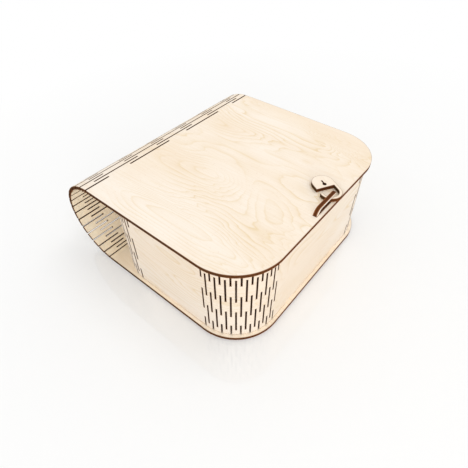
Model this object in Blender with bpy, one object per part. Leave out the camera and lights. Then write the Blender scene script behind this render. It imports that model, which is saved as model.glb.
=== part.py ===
"""A book-style keepsake box cut from one thickness of birch plywood.

One sheet makes the base, the rounded spine and the lid. Rows of staggered slots turn its middle into a
living hinge, and each row bends a little, so the spine is a chain of narrow slats. A second strip, bent
round four slotted corners, stands on the base as the wall. A post with a bar, the keeper, rises from the
wall through a slot in the lid, and a flat hook on the lid turns its claw in under the bar.

The sheet lies along +Y from its joints with its inner face up. +Z is up, the fore edge faces -Y, and the
origin lies under the middle of the closed box, on the surface that it stands on.
"""

import math

import bmesh
import bpy
from mathutils import Matrix

# Driving dimensions, in metres
SHEET = 0.003  # thickness of the plywood
WIDTH = 0.200  # base and lid, along the fore edge
HEIGHT = 0.081  # closed box, outside the base to outside the lid
PANEL_DEPTH = 0.156  # fore edge to the nearest row of hinge slots
CORNER_RADIUS = 0.040  # the two free corners of the base and of the lid
RIM = 0.003  # base and lid stand out from the wall by this much
SPINE_HOLLOW = 0.0055  # from the wall's back face to the nearest row of hinge slots
CLEARANCE = 0.0003  # between pieces that touch
OVERRUN = 0.002  # cutters pass the faces they cut by this much

# Living hinges
SPINE_ROWS = 31  # odd, so that the first and last rows run out at the sheet's sides
SPINE_SLOT_COUNT = 3
CORNER_COLUMNS = 17  # odd, for the same reason
CORNER_SLOT_COUNT = 2
SLOT_SHARE = 2 / 3  # of the pattern's period, the rest is the bridge between two slots
SLOT_WIDTH = 0.0010

# Joinery of the wall
TAB_LENGTH = 0.012
TAB_SPACING = 0.070  # between the two tabs of a long run
SEAM_FINGERS = 5
SEAM_FINGER_LENGTH = 0.008

# Keeper: a post at one end of a bar, in the plane of the front wall
KEEPER_LEFT = 0.0146  # outer side of the post, left of the box's middle
KEEPER_RIGHT = 0.0125  # free end of the bar, right of the middle
KEEPER_POST = 0.0036
KEEPER_BAR = 0.0020
KEEPER_SLOT_CLEARANCE = 0.0004

# Latch hook: an oblong with a throat cut into its left side
LATCH_X = 0.0179  # pivot, right of the box's middle
LATCH_FROM_EDGE = 0.0157  # pivot, behind the fore edge
LATCH_LEAN = math.radians(60)  # of the hook's long axis, from +X
LATCH_RADIUS = 0.0087  # round ends
LATCH_SPAN = 0.0114  # between the centres of the round ends
EYE_FROM_END = 0.0022  # pivot, from the centre of the eye's end
THROAT_FROM_EYE = 0.00345  # straight top of the throat, from the pivot
LATCH_ARM = 0.0023
LATCH_CLAW = 0.0019
CLAW_END = math.radians(87)
PIN_RADIUS = 0.0012
PIN_TOP_SHARE = 0.5  # of the hook's thickness
SLIT_WIDTH = 0.0009
SLIT_REACH = 0.0045  # from the pivot

# Worked out from the sizes above
BEND = math.pi / SPINE_ROWS
PITCH = (HEIGHT - SHEET) * math.tan(BEND / 2)
BRIDGE_GAP = CLEARANCE + SHEET * math.tan(BEND / 2)  # still clear at the inner face of the closed curl
HALF_SHEET = SHEET / 2
LATCH_BACK = LATCH_SPAN - EYE_FROM_END  # pivot to the centre of the jaw's end
LATCH_OVERHANG = LATCH_BACK * math.sin(LATCH_LEAN) + LATCH_RADIUS - LATCH_FROM_EDGE
SPINE_REACH = HEIGHT / 2 * math.cos(BEND / 2) + (PITCH - BRIDGE_GAP) / 2 * math.sin(BEND / 2) - PITCH / 2
FORE_Y = (max(LATCH_OVERHANG, 0) - PANEL_DEPTH - SPINE_REACH) / 2
JOINT_Y = FORE_Y + PANEL_DEPTH
WALL_BOTTOM = SHEET + CLEARANCE
WALL_TOP = HEIGHT - SHEET - CLEARANCE
WALL_FRONT = FORE_Y + RIM
WALL_BACK = JOINT_Y - SPINE_HOLLOW
WALL_HALF = WIDTH / 2 - RIM
WALL_RADIUS = CORNER_RADIUS - RIM
LATCH_Y = FORE_Y + LATCH_FROM_EDGE
LATCH_BOTTOM = HEIGHT + CLEARANCE
KEEPER_UNDER = LATCH_BOTTOM + SHEET + CLEARANCE  # underside of the bar
KEEPER_TOP = KEEPER_UNDER + KEEPER_BAR
KEEPER_Y = WALL_FRONT + HALF_SHEET

PANEL_CORNER_STEPS = 24
KEEPER_CORNER_STEPS = 6
LATCH_STEPS = 28
ROUND_STEPS = 24
CREASE = math.radians(40)  # faces that meet at less are shaded as one round

BIRCH = (0.86, 0.71, 0.51)
BIRCH_LIGHT = (0.89, 0.75, 0.56)
BIRCH_WARM = (0.82, 0.66, 0.45)
CHARRED = (0.06, 0.028, 0.014)


def clear_scene():
    for found in list(bpy.data.objects):
        bpy.data.objects.remove(found)


def plywood(name, colour, roughness=0.62):
    material = bpy.data.materials.new(name)
    material.use_nodes = True
    shader = material.node_tree.nodes["Principled BSDF"]
    shader.inputs["Base Color"].default_value = (*colour, 1)
    shader.inputs["Roughness"].default_value = roughness
    shader.inputs["Metallic"].default_value = 0
    material.diffuse_color = (*colour, 1)
    return material


def new_object(name, work, material=None):
    """A work mesh becomes an object, with its faces turned outwards. A cutter has no material."""
    bmesh.ops.recalc_face_normals(work, faces=work.faces)
    mesh = bpy.data.meshes.new(name)
    work.to_mesh(mesh)
    work.free()
    made = bpy.data.objects.new(name, mesh)
    bpy.context.scene.collection.objects.link(made)
    if material:
        mesh.materials.append(material)
        mesh.shade_smooth()
        mesh.set_sharp_from_angle(angle=CREASE)
    return made


def prism(name, outline, low, high, material=None, upright=False):
    """An outline's points, extruded from low to high: along Z, or along Y where the outline is upright."""
    work = bmesh.new()
    if upright:
        corners = [work.verts.new((across, low, up)) for across, up in outline]
    else:
        corners = [work.verts.new((across, along, low)) for across, along in outline]
    face = work.faces.new(corners)
    grown = bmesh.ops.extrude_face_region(work, geom=[face])["geom"]
    rise = high - low
    shift = (0, rise, 0) if upright else (0, 0, rise)
    bmesh.ops.translate(work, vec=shift, verts=[v for v in grown if isinstance(v, bmesh.types.BMVert)])
    return new_object(name, work, material)


def box(name, x_range, y_range, z_range):
    left, right = x_range
    near, far = y_range
    return prism(name, [(left, near), (right, near), (right, far), (left, far)], *z_range)


def disc_outline(radius, steps=ROUND_STEPS):
    return arc((0, 0), radius, 0, math.tau * (steps - 1) / steps, steps - 1)


def arc(centre, radius, start, end, steps):
    """Points on an arc, both ends included."""
    turns = [start + (end - start) * step / steps for step in range(steps + 1)]
    return [(centre[0] + radius * math.cos(t), centre[1] + radius * math.sin(t)) for t in turns]


def as_guide(cutter):
    cutter.hide_render = True
    cutter.display_type = "WIRE"
    return cutter


def combine(target, other, operation):
    modifier = target.modifiers.new(other.name, "BOOLEAN")
    modifier.operation = operation
    modifier.object = as_guide(other)
    return target


def row_slots(length, count, open_ends):
    """The slots of one row across a length, as (start, end) from its middle.

    A row with open ends has half a slot at each side of the sheet. The next row has half a bridge there.
    """
    period = length / count
    half_slot = period * SLOT_SHARE / 2
    first = 0 if open_ends else period / 2
    centres = [first + period * step - length / 2 for step in range(count + (1 if open_ends else 0))]
    return [(max(c - half_slot, -length / 2), min(c + half_slot, length / 2)) for c in centres]


def slotted_edge(open_ends, side):
    """An edge along one row of the spine, from left to right. Its slots are set back, its bridges less so.

    side is 1 for an edge that lies beyond the row, and -1 for one before it.
    """
    at_slot = side * SLOT_WIDTH / 2
    at_bridge = side * BRIDGE_GAP / 2
    points = []
    for start, end in row_slots(WIDTH, SPINE_SLOT_COUNT, open_ends):
        if start > -WIDTH / 2:
            points.append((start, at_bridge))
        points.append((start, at_slot))
        points.append((end, at_slot))
        if end < WIDTH / 2:
            points.append((end, at_bridge))
    if not open_ends:
        points.insert(0, (-WIDTH / 2, at_bridge))
        points.append((WIDTH / 2, at_bridge))
    return points


def panel_outline(side):
    """Base or lid, from its row of slots at y = 0 to the fore edge with its two rounded corners."""
    near = PANEL_DEPTH - CORNER_RADIUS
    half = WIDTH / 2 - CORNER_RADIUS
    right = arc((half, near), CORNER_RADIUS, 0, math.pi / 2, PANEL_CORNER_STEPS)
    left = arc((-half, near), CORNER_RADIUS, math.pi / 2, math.pi, PANEL_CORNER_STEPS)
    fore = [(across, side * along) for across, along in right + left]
    return slotted_edge(True, side) + fore


def make_base(material):
    base = prism("base_panel", panel_outline(-1), -HALF_SHEET, HALF_SHEET, material)
    base.location = (0, JOINT_Y, HALF_SHEET)
    for name, centre, along_x in tab_places():
        half_long = TAB_LENGTH / 2 + CLEARANCE
        half_thick = HALF_SHEET + CLEARANCE
        half_x, half_y = (half_long, half_thick) if along_x else (half_thick, half_long)
        x_range = (centre[0] - half_x, centre[0] + half_x)
        y_range = (centre[1] - half_y, centre[1] + half_y)
        combine(base, box("cut_" + name, x_range, y_range, (-OVERRUN, SHEET + OVERRUN)), "DIFFERENCE")
    return base


def make_slat(number, previous, material):
    """One slat between two rows of slots. It turns on the row nearer the base, where its origin lies."""
    before = slotted_edge(number % 2 == 1, 1)
    beyond = [(across, PITCH + along) for across, along in slotted_edge(number % 2 == 0, -1)]
    slat = prism(f"spine_slat_{number:02d}", before + beyond[::-1], -HALF_SHEET, HALF_SHEET, material)
    return follow(slat, previous)


def follow(piece, previous):
    """Joins a piece to the one before it in the curl, one row further on and one bend more."""
    piece.parent = previous
    piece.location = (0, 0 if previous.name == "base_panel" else PITCH, 0)
    piece.rotation_euler = (BEND, 0, 0)
    return piece


def make_lid(last_slat, material):
    """The lid, over which the sheet has turned by half a turn: its inner face looks down."""
    lid = follow(prism("lid_panel", panel_outline(1), -HALF_SHEET, HALF_SHEET, material), last_slat)
    slot_x = (-KEEPER_LEFT - KEEPER_SLOT_CLEARANCE, KEEPER_RIGHT + KEEPER_SLOT_CLEARANCE)
    half_slot = HALF_SHEET + KEEPER_SLOT_CLEARANCE
    slot_y = (KEEPER_Y - half_slot, KEEPER_Y + half_slot)
    z_range = (HEIGHT - SHEET - OVERRUN, HEIGHT + OVERRUN)
    combine(lid, box("cut_keeper_slot", slot_x, slot_y, z_range), "DIFFERENCE")
    hole = prism("cut_pin_hole", disc_outline(PIN_RADIUS + CLEARANCE), *z_range)
    hole.location = (LATCH_X, LATCH_Y, 0)
    return combine(lid, hole, "DIFFERENCE")


def wall_loop(inset):
    """The wall's plan, counter-clockwise from the right front corner, a point on each column of slots."""
    radius = WALL_RADIUS - inset
    right = WALL_HALF - WALL_RADIUS
    front = WALL_FRONT + WALL_RADIUS
    back = WALL_BACK - WALL_RADIUS
    centres = [(right, front), (right, back), (-right, back), (-right, front)]
    loop = []
    for quarter, centre in enumerate(centres):
        start = (quarter - 1) * math.pi / 2
        loop += arc(centre, radius, start, start + math.pi / 2, CORNER_COLUMNS - 1)
    return loop, centres


def make_column_cutter():
    """All the slots of the four bent corners, as thin upright blades through the wall."""
    work = bmesh.new()
    middle = (WALL_BOTTOM + WALL_TOP) / 2
    depth = SHEET + 2 * OVERRUN
    for quarter, centre in enumerate(wall_loop(0)[1]):
        for column in range(CORNER_COLUMNS):
            turn = (quarter - 1 + column / (CORNER_COLUMNS - 1)) * math.pi / 2
            aim = Matrix.Translation((*centre, 0)) @ Matrix.Rotation(turn, 4, "Z")
            open_ends = column % 2 == 0
            for start, end in row_slots(WALL_TOP - WALL_BOTTOM, CORNER_SLOT_COUNT, open_ends):
                low = middle + start - (OVERRUN if open_ends and start < -end else 0)
                high = middle + end + (OVERRUN if open_ends and end > -start else 0)
                place = Matrix.Translation((WALL_RADIUS - HALF_SHEET, 0, (low + high) / 2))
                size = Matrix.Diagonal((depth, SLOT_WIDTH, high - low, 1))
                bmesh.ops.create_cube(work, size=1, matrix=aim @ place @ size)
    return new_object("cut_corner_slots", work)


def seam_outline():
    """A stepped kerf down the middle of the back wall, where the strip's two ends meet as fingers."""
    low = WALL_BOTTOM - OVERRUN
    finger = (WALL_TOP - WALL_BOTTOM) / SEAM_FINGERS
    reach = SEAM_FINGER_LENGTH / 2
    half_gap = CLEARANCE / 2
    sides = []
    for side in (-half_gap, half_gap):
        points = [(-reach + side, low)]
        for step in range(1, SEAM_FINGERS):
            outward = 1 if step % 2 == 1 else -1
            level = WALL_BOTTOM + finger * step - outward * side
            points += [(-outward * reach + side, level), (outward * reach + side, level)]
        last = 1 if SEAM_FINGERS % 2 == 0 else -1
        points.append((last * reach + side, WALL_TOP + OVERRUN))
        sides.append(points)
    return sides[1] + sides[0][::-1]


def tab_places():
    """Where the wall's tabs stand in the base: name, middle in plan, and whether the tab runs along X."""
    back_y = WALL_BACK - HALF_SHEET
    side_y = (WALL_FRONT + WALL_BACK) / 2
    side_x = WALL_HALF - HALF_SHEET
    half = TAB_SPACING / 2
    return [
        ("tab_front_left", (-half, KEEPER_Y), True),
        ("tab_front_right", (half, KEEPER_Y), True),
        ("tab_back_left", (-half, back_y), True),
        ("tab_back_right", (half, back_y), True),
        ("tab_left", (-side_x, side_y), False),
        ("tab_right", (side_x, side_y), False),
    ]


def keeper_outline():
    """The post and its bar seen from the front, rooted in the wall. The outer corner is a quarter round."""
    root = WALL_TOP - SHEET
    outer = KEEPER_TOP - HEIGHT
    inner = KEEPER_UNDER - HEIGHT
    inside = KEEPER_POST - KEEPER_LEFT
    points = [(-KEEPER_LEFT, root), (inside, root)]
    points += arc((inside + inner, HEIGHT), inner, math.pi, math.pi / 2, KEEPER_CORNER_STEPS)
    points += [(KEEPER_RIGHT, KEEPER_UNDER), (KEEPER_RIGHT, KEEPER_TOP)]
    points += arc((outer - KEEPER_LEFT, HEIGHT), outer, math.pi / 2, math.pi, KEEPER_CORNER_STEPS)
    return points


def make_wall(material):
    outer, inner = wall_loop(0)[0], wall_loop(SHEET)[0]
    work = bmesh.new()
    rings = []
    for loop, height in ((outer, WALL_BOTTOM), (inner, WALL_BOTTOM), (inner, WALL_TOP), (outer, WALL_TOP)):
        rings.append([work.verts.new((*point, height)) for point in loop])
    for ring, following in zip(rings, rings[1:] + rings[:1]):
        for here in range(len(ring)):
            ahead = (here + 1) % len(ring)
            work.faces.new((ring[here], ring[ahead], following[ahead], following[here]))
    wall = new_object("wall_band", work, material)
    for name, centre, along_x in tab_places():
        half_x, half_y = (TAB_LENGTH / 2, HALF_SHEET) if along_x else (HALF_SHEET, TAB_LENGTH / 2)
        x_range = (centre[0] - half_x, centre[0] + half_x)
        y_range = (centre[1] - half_y, centre[1] + half_y)
        combine(wall, box(name, x_range, y_range, (CLEARANCE, WALL_BOTTOM + SHEET)), "UNION")
    keeper = prism("keeper", keeper_outline(), WALL_FRONT, WALL_FRONT + SHEET, upright=True)
    combine(wall, keeper, "UNION")
    combine(wall, make_column_cutter(), "DIFFERENCE")
    seam_depth = (WALL_BACK - SHEET - OVERRUN, WALL_BACK + OVERRUN)
    return combine(wall, prism("cut_seam", seam_outline(), *seam_depth, upright=True), "DIFFERENCE")


def hook_outline():
    """The hook about its pivot, its long axis along X with the eye at +X. The throat opens at +Y."""
    eye = (EYE_FROM_END, 0)
    jaw = (-LATCH_BACK, 0)
    inner_radius = LATCH_RADIUS - (LATCH_ARM + LATCH_CLAW) / 2
    inner = (-LATCH_BACK, (LATCH_ARM - LATCH_CLAW) / 2)
    points = arc(eye, LATCH_RADIUS, math.pi / 2, -math.pi / 2, LATCH_STEPS)
    points += arc(jaw, LATCH_RADIUS, -math.pi / 2, CLAW_END - math.tau, LATCH_STEPS)
    points += arc(inner, inner_radius, CLAW_END - math.tau, -math.pi / 2, LATCH_STEPS)
    points += [(-THROAT_FROM_EYE, LATCH_ARM - LATCH_RADIUS), (-THROAT_FROM_EYE, LATCH_RADIUS)]
    return points


def make_hook(material):
    hook = prism("latch_hook", hook_outline(), 0, SHEET, material)
    hook.location = (LATCH_X, LATCH_Y, LATCH_BOTTOM)
    hook.rotation_euler = (0, 0, LATCH_LEAN)
    cut_range = (-OVERRUN, SHEET + OVERRUN)
    eye = prism("cut_eye", disc_outline(PIN_RADIUS + CLEARANCE), *cut_range)
    slit = box("cut_slit", (0, SLIT_REACH), (-SLIT_WIDTH / 2, SLIT_WIDTH / 2), cut_range)
    for cutter in (eye, slit):
        cutter.parent = hook
        combine(hook, cutter, "DIFFERENCE")
    return hook


def make_pin(material):
    top = LATCH_BOTTOM + SHEET * PIN_TOP_SHARE
    pin = prism("latch_pin", disc_outline(PIN_RADIUS), HEIGHT - SHEET, top, material)
    pin.location = (LATCH_X, LATCH_Y, 0)
    return pin


def main():
    clear_scene()
    piece = make_base(plywood("base sheet birch", BIRCH))
    spine = plywood("spine sheet birch", BIRCH_WARM)
    for number in range(1, SPINE_ROWS):
        piece = make_slat(number, piece, spine)
    make_lid(piece, plywood("lid sheet birch", BIRCH_LIGHT))
    make_wall(plywood("wall strip birch", BIRCH))
    make_hook(plywood("hook birch", BIRCH_LIGHT))
    make_pin(plywood("pin charred dowel", CHARRED, 0.8))
    bpy.context.view_layer.update()


main()
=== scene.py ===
# %% [markdown]
# # A keepsake box of laser-cut birch plywood
#
# The box is three flat cuts of 3 mm plywood. One long sheet is the base, the spine and the lid. A
# second strip is bent into the wall and stands in the base on six tabs. The third is a small hook.
# Where the wood has to bend, the laser has cut rows of staggered slots, and the thin bridges between
# the slots twist a little each. That is a living hinge.
#
# This lesson makes the box in the way the real one is made: each piece is drawn flat, cut, and then
# bent into its place. The CAD model is the fixed frame that everything is set into.

# %% Load the frame
import math

import bpy
from mathutils import Matrix, Vector
from mathutils.geometry import delaunay_2d_cdt


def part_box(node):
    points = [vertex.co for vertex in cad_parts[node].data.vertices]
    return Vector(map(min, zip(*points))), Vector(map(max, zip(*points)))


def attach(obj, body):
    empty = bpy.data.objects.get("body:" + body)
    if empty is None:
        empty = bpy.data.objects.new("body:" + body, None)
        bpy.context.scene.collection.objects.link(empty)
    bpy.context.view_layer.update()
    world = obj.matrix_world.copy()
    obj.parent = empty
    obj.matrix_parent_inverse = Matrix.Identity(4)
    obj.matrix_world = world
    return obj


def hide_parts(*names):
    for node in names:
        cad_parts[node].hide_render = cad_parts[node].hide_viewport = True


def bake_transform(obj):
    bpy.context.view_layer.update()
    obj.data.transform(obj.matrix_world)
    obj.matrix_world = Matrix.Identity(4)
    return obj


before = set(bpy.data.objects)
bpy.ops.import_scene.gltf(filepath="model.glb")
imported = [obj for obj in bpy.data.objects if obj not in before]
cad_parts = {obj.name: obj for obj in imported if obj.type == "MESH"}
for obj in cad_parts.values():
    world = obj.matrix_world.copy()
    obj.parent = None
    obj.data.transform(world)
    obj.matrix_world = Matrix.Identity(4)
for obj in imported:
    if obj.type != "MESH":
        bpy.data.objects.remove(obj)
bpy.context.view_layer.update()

# %% [markdown]
# ## The box's sizes
#
# Sizes are in metres, as in the CAD model. The base is 156 mm deep from its fore edge to the first
# row of slots. The wall stands 3 mm in from the sheet's edges and 5.5 mm in front of that row. Where
# pieces meet loosely they have 0.3 mm of play. The fore edge and the top are read from the frame, so
# the pieces can't drift away from it.

# %% Sizes of the sheet, the curl and the wall
SHEET = 0.003
WIDTH = 0.200
PANEL_DEPTH = 0.156
CORNER_RADIUS = 0.040
RIM = 0.003
SPINE_HOLLOW = 0.0055
SPINE_ROWS = 31
SLOT_WIDTH = 0.0010
PLAY = 0.0003

fore_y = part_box("base_panel")[0].y
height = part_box("lid_panel")[1].z
bend = math.pi / SPINE_ROWS
middle_radius = (height - SHEET) / 2
first_row_y = fore_y + PANEL_DEPTH
curl_y = first_row_y - middle_radius * math.tan(bend / 2)
curl_length = math.pi * middle_radius
row_step = curl_length / SPINE_ROWS
panel_length = curl_y - fore_y
print(f"fore edge {fore_y * 1000:.2f} mm, curl centre {curl_y * 1000:.2f} mm")
print(f"row step {row_step * 1000:.3f} mm")

# %% [markdown]
# ## Drawing a cut
#
# A laser follows closed lines: an outline, and the holes inside it. The outline runs with the wood on
# its left, and so does each hole, which makes a hole run clockwise. One rule then serves for both.
# Moving a line to its left gives a second line just inside the wood, and the strip between the two is
# where the beam has browned the face, 0.4 mm wide.
#
# Slots come in rows. Two thirds of a row are slots and the rest is bridges, and every second row is
# shifted, so that a bridge stands beside the middle of a slot, as bricks do. A shifted row has half a
# slot at each side of the sheet.

# %% Lines of a cut
SCORCH_REACH = 0.0004
SLOT_SHARE = 2 / 3


def arc(centre, radius, start, end, steps):
    """Points on an arc given in degrees, both ends included."""
    turns = [math.radians(start + (end - start) * step / steps) for step in range(steps + 1)]
    return [(centre[0] + radius * math.cos(t), centre[1] + radius * math.sin(t)) for t in turns]


def window(low_u, high_u, low_v, high_v):
    """A rectangular hole, clockwise."""
    return [(low_u, low_v), (low_u, high_v), (high_u, high_v), (high_u, low_v)]


def step_out(start, end, edge, reach):
    """Where an edge leaves its line at start, reaches out or in, and comes back at end."""
    return [(start, edge), (start, reach), (end, reach), (end, edge)]


def moved_into_wood(line, distance):
    """The closed line moved to its left, mitred at its corners."""
    moved = []
    for before, here, after in zip(line[-1:] + line[:-1], line, line[1:] + line[:1]):
        here = Vector(here)
        came = (here - Vector(before)).normalized()
        goes = (Vector(after) - here).normalized()
        left = Vector((-came.y - goes.y, came.x + goes.x))
        moved.append(here + left * (2 * distance / left.length_squared))
    return moved


def slots_along(length, count, open_ends):
    """Slots of one row as (start, end) from its middle. An open row has half a slot at each side."""
    period = length / count
    half = period * SLOT_SHARE / 2
    first = 0 if open_ends else period / 2
    centres = [first + period * step - length / 2 for step in range(count + (1 if open_ends else 0))]
    return [(max(c - half, -length / 2), min(c + half, length / 2)) for c in centres]


open_row = slots_along(WIDTH, 3, True)
print("slots of an open row, mm:", [tuple(round(1000 * end, 1) for end in slot) for slot in open_row])

# %% [markdown]
# ## From lines to wood
#
# Blender could cut the slots with Boolean modifiers, but a hundred thin cutters through a curved
# sheet are slow, and leave no clean flat layout for the grain. A constrained Delaunay triangulation
# does it in one step while the sheet is still flat. It fills the plane with triangles that keep to
# every line given. The lines across the hinges, where the wood will bend, go in with the rest, and
# the triangles that lie in a hole are thrown away.
#
# An edge that only one triangle has is a rim. If there is wood again two slot widths past it, the cut
# there is a narrow slot. Its walls and rims are painted darker: laser char, and painted shade for the
# deep, narrow gap.

# %% Triangulate a flat cut
SAME_SPOT = 1e-6


def inside(point, line):
    """Whether a point lies inside a closed line: a ray from it crosses the line an odd number of times."""
    odd = False
    for (au, av), (bu, bv) in zip(line, line[1:] + line[:1]):
        if (av > point[1]) != (bv > point[1]):
            if point[0] < au + (point[1] - av) / (bv - av) * (bu - au):
                odd = not odd
    return odd


def open_edges(triangles):
    """The edges that only one of the triangles has, with the wood on their left."""
    edges = {(a, b): None for face in triangles for a, b in zip(face, face[1:] + face[:1])}
    return [(a, b) for a, b in edges if (b, a) not in edges]


def middle_of(found, triangle):
    """The middle of a triangle, from the points that were found and its three numbers."""
    return sum((found[i] for i in triangle), Vector((0, 0))) / len(triangle)


def cut_flat(outline, holes, folds):
    """Points, triangles of wood, and the rim edges that the laser made, each with whether it is narrow."""
    points, edges = [], []
    for line in [outline, *holes]:
        for ring in (line, moved_into_wood(line, SCORCH_REACH)):
            first = len(points)
            points += [Vector(p) for p in ring]
            edges += [(first + i, first + (i + 1) % len(ring)) for i in range(len(ring))]
    for start, end in folds:
        edges.append((len(points), len(points) + 1))
        points += [Vector(start), Vector(end)]
    found, _, faces, *_ = delaunay_2d_cdt(points, edges, [], 0, SAME_SPOT)
    spans = []
    for hole in holes:
        u, v = zip(*hole)
        spans.append((min(u), max(u), min(v), max(v), hole))

    def is_wood(spot):
        in_hole = any(a < spot.x < b and c < spot.y < d and inside(spot, h) for a, b, c, d, h in spans)
        return not in_hole and inside(spot, outline)

    wood = [list(face) for face in faces if is_wood(middle_of(found, face))]
    rims = {}
    for a, b in open_edges(wood):
        way = (found[b] - found[a]).normalized()
        beyond = (found[a] + found[b]) / 2 + Vector((way.y, -way.x)) * 2 * SLOT_WIDTH
        rims[a, b] = is_wood(beyond)
    return found, wood, rims


sample = cut_flat(window(0, 0.02, 0, 0.02)[::-1], [window(0.005, 0.006, 0.004, 0.016)], [])
print("a 20 mm square with one slot:", len(sample[0]), "points,", len(sample[1]), "triangles")

# %% [markdown]
# ## From flat wood to a standing piece
#
# Each flat point gets two places: one on the outer face and one on the inner face, a sheet's
# thickness below. A function says where, so bending is only a matter of which function is used. Walls
# between the two faces close the mesh along every cut, and also where one piece is parted from the
# next. The flat coordinates stay with the mesh as a UV map in metres, named flat. The grain is drawn
# in it later, and runs round every bend just as it does in the real sheet. On the cut walls the map
# holds the way along the cut and the depth, so the plies can be drawn there.
#
# What the laser did goes along as well. The attribute that carries the laser's scorch is 1 at a rim and
# falls to 0 at the second line. At a narrow slot its rims have more than 1 and stay dark further in; that
# extra is painted shade for the narrow gap, not scorch.
# The attribute lengthwise is 1 on the wall of a cut that runs with the face grain, and 0 across it.

# %% Lift a cut to its place
SHARP_TURN = math.radians(40)
# Above 1 this is painted shade at the rims of narrow slots, on top of the laser's scorch.
SLOT_SCORCH_AND_SHADE = 1.3
OUTER, WIDE_CUT, NARROW_CUT, INNER = range(4)


def put_in_scene(name, data):
    """A new object with this mesh, lamp or camera, linked to the scene."""
    thing = bpy.data.objects.new(name, data)
    bpy.context.scene.collection.objects.link(thing)
    return thing


def lift(name, cut, place, materials, keep=None):
    """Makes a mesh object of a flat cut, or of the triangles that keep() picks by their middle.

    The materials are those of the outer face, wide cuts, narrow cuts and the inner face.
    """
    found, wood, rims = cut
    vertices, normals, scorch_and_slot_shade = [], [], []
    polygons, layout, kinds, lengthwise = [], [], [], []
    made, rim_scorch_and_slot_shade = {}, {}
    # Rims of narrow slots get painted shade on top of the scorch.
    for edge, narrow in rims.items():
        for i in edge:
            rim_scorch_and_slot_shade[i] = max(rim_scorch_and_slot_shade.get(i, 0.0), SLOT_SCORCH_AND_SHADE if narrow else 1.0)

    def corner(index, depth, wall):
        key = (index, depth, wall)
        if key not in made:
            flat = found[index]
            outer, inner = Vector(place(*flat, 0)), Vector(place(*flat, SHEET))
            facing = (outer - inner).normalized()
            made[key] = len(vertices)
            vertices.append(outer.lerp(inner, depth / SHEET))
            normals.append((0, 0, 0) if wall else tuple(facing if depth == 0 else -facing))
            scorch_and_slot_shade.append(1.0 if wall else rim_scorch_and_slot_shade.get(index, 0.0))
        return made[key]

    def face(corners, spots, kind, with_grain):
        polygons.append(corners)
        layout.extend(spots)
        kinds.append(kind)
        lengthwise.append(with_grain)

    chosen = [triangle for triangle in wood if keep is None or keep(*middle_of(found, triangle))]
    for triangle in chosen:
        spots = [tuple(found[i]) for i in triangle]
        face([corner(i, 0, False) for i in triangle], spots, OUTER, 0.0)
        face([corner(i, SHEET, False) for i in triangle[::-1]], spots[::-1], INNER, 0.0)
    for a, b in open_edges(chosen):
        start, run = found[a].x + found[a].y, found[b] - found[a]
        end = start + run.length
        corners = [corner(a, 0, True), corner(a, SHEET, True), corner(b, SHEET, True), corner(b, 0, True)]
        spots = [(start, 0), (start, SHEET), (end, SHEET), (end, 0)]
        face(corners, spots, NARROW_CUT if rims.get((a, b)) else WIDE_CUT, run.normalized().x ** 2)
    mesh = bpy.data.meshes.new(name)
    mesh.from_pydata(vertices, [], polygons)
    for material in materials:
        mesh.materials.append(material)
    mesh.polygons.foreach_set("material_index", kinds)
    mesh.uv_layers.new(name="flat").data.foreach_set("uv", [x for spot in layout for x in spot])
    mesh.attributes.new("scorch_and_slot_shade", "FLOAT", "POINT").data.foreach_set("value", scorch_and_slot_shade)
    mesh.attributes.new("lengthwise", "FLOAT", "FACE").data.foreach_set("value", lengthwise)
    mesh.shade_smooth()
    mesh.set_sharp_from_angle(angle=SHARP_TURN)
    mesh.normals_split_custom_set_from_vertices(normals)
    print(f"{name}: {len(polygons)} faces")
    return put_in_scene(name, mesh)


# A narrow slot's rim gets painted shade besides the browning.
print(f"a rim is browned {SCORCH_REACH * 1000:.1f} mm in, a narrow slot's rim {SLOT_SCORCH_AND_SHADE} times as much")

# %% [markdown]
# ## Colour and nodes
#
# Colours are written as sRGB hex values, the numbers a colour picker shows, and one function turns
# them into the linear values that a shader works in. A second function adds a node, sets it up and
# fills its inputs, so a material reads as a list of what happens to the surface.

# %% Helpers for materials
def linear(hex_colour):
    """An sRGB hex value as the linear colour that a shader takes."""
    channels = [int(hex_colour[i : i + 2], 16) / 255 for i in (1, 3, 5)]
    return (*(c / 12.92 if c <= 0.04045 else ((c + 0.055) / 1.055) ** 2.4 for c in channels), 1)


def add(tree, kind, inputs, stops=(), **settings):
    """Adds a node. inputs holds values or other nodes' outputs, and stops the colours of a ramp."""
    node = tree.nodes.new("ShaderNode" + kind)
    for name, value in settings.items():
        setattr(node, name, value)
    for key, value in inputs.items():
        if isinstance(value, bpy.types.NodeSocket):
            tree.links.new(value, node.inputs[key])
        else:
            node.inputs[key].default_value = value
    for number, (place, colour) in enumerate(stops):
        ramp = node.color_ramp.elements
        stop = ramp[number] if number < 2 else ramp.new(place)
        stop.position = place
        stop.color = colour
    return node


def start_material(name):
    """A new material, its node tree and its shader."""
    material = bpy.data.materials.new(name)
    material.use_nodes = True
    return material, material.node_tree, material.node_tree.nodes["Principled BSDF"]


print("pale birch, linear:", [round(c, 3) for c in linear("#F6EBDD")[:3]])

# %% [markdown]
# ## Birch veneer
#
# Birch plywood is faced with rotary-cut veneer: the log is peeled like a roll of paper, so the blade
# runs along the year rings and crosses them only slowly. That gives the wide, restless figure of
# nested islands and flames, like the height lines of a map. The wood itself is nearly white, and the
# figure is only a shade darker.
#
# So the figure is drawn as a map is. A soft noise, more than twice as long along the grain as across
# it, is the height of the land, and its height lines are the rings, 2 to 4 mm apart. A finer noise
# pushes the lines to and fro along the grain, by up to 6 mm, and gives them teeth. A year ring
# darkens slowly and ends sharply, which the fraction of a rising number does as well. Under that the
# ground clouds softly from pale to warm, in spots of 60 mm and less.
#
# Over it lie streaks and fibres from 1.3 mm down to 0.3 mm, drawn coarser than the real ones of
# 0.03 mm so that they show at all, and short brown flecks of 2 mm. The fibres also lift the surface a
# little and vary its roughness, so it looks sanded, not varnished.

# %% Layers of the veneer
TOOTH = 0.005
MIDDLE = (0.34, 0.66)

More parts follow.
